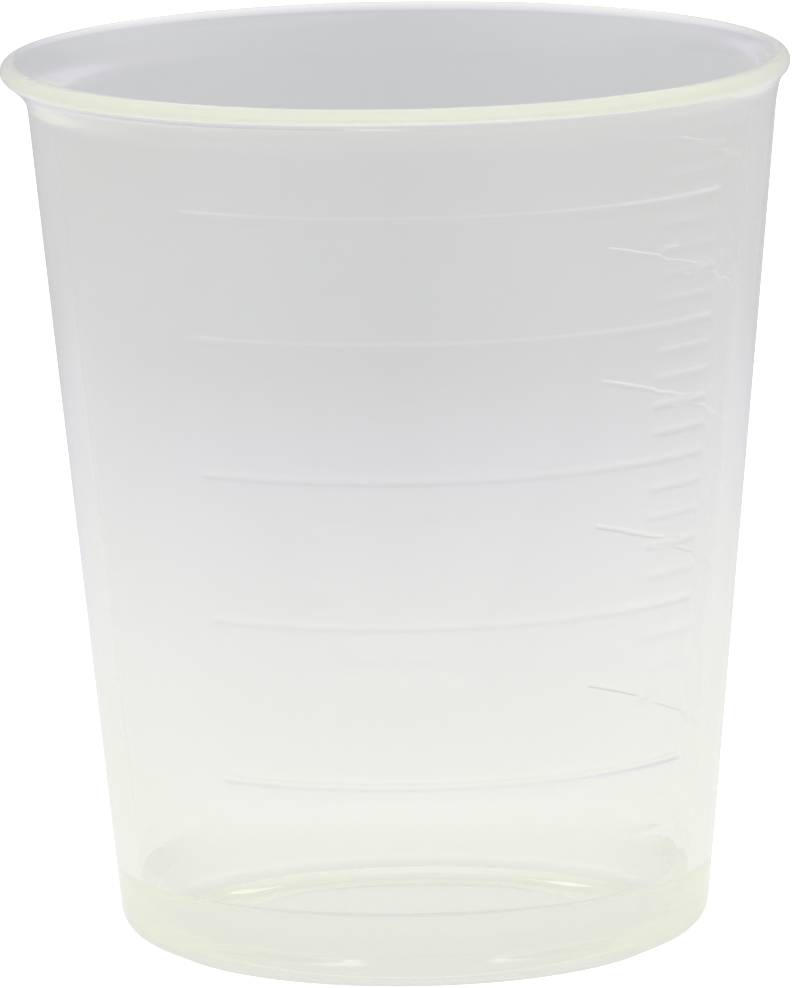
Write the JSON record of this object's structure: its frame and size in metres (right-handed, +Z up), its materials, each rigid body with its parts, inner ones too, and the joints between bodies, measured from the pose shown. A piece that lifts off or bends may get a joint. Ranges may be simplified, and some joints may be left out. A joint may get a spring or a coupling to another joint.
{
  "type": "medicine cup",
  "caption": "Small tapered measuring cup in natural polypropylene, with a flared round lip, a low foot ring, a sloping inner edge to its floor and volume marks moulded on the inside of the wall.",
  "frame": {"origin": "centre of the foot ring, on the surface that the cup stands on", "axes": "+Z up along the cup's axis to the mouth, -Y towards the front scale, +X to the right seen from the front"},
  "size_m": [0.0378, 0.0378, 0.043],
  "materials": {
    "natural_polypropylene": "milky, translucent and nearly colourless, with a soft moulded gloss, a little creamy where it is thick"
  },
  "bodies": {
    "root": {"medicine_cup": "natural_polypropylene"}
  },
  "joints": []
}
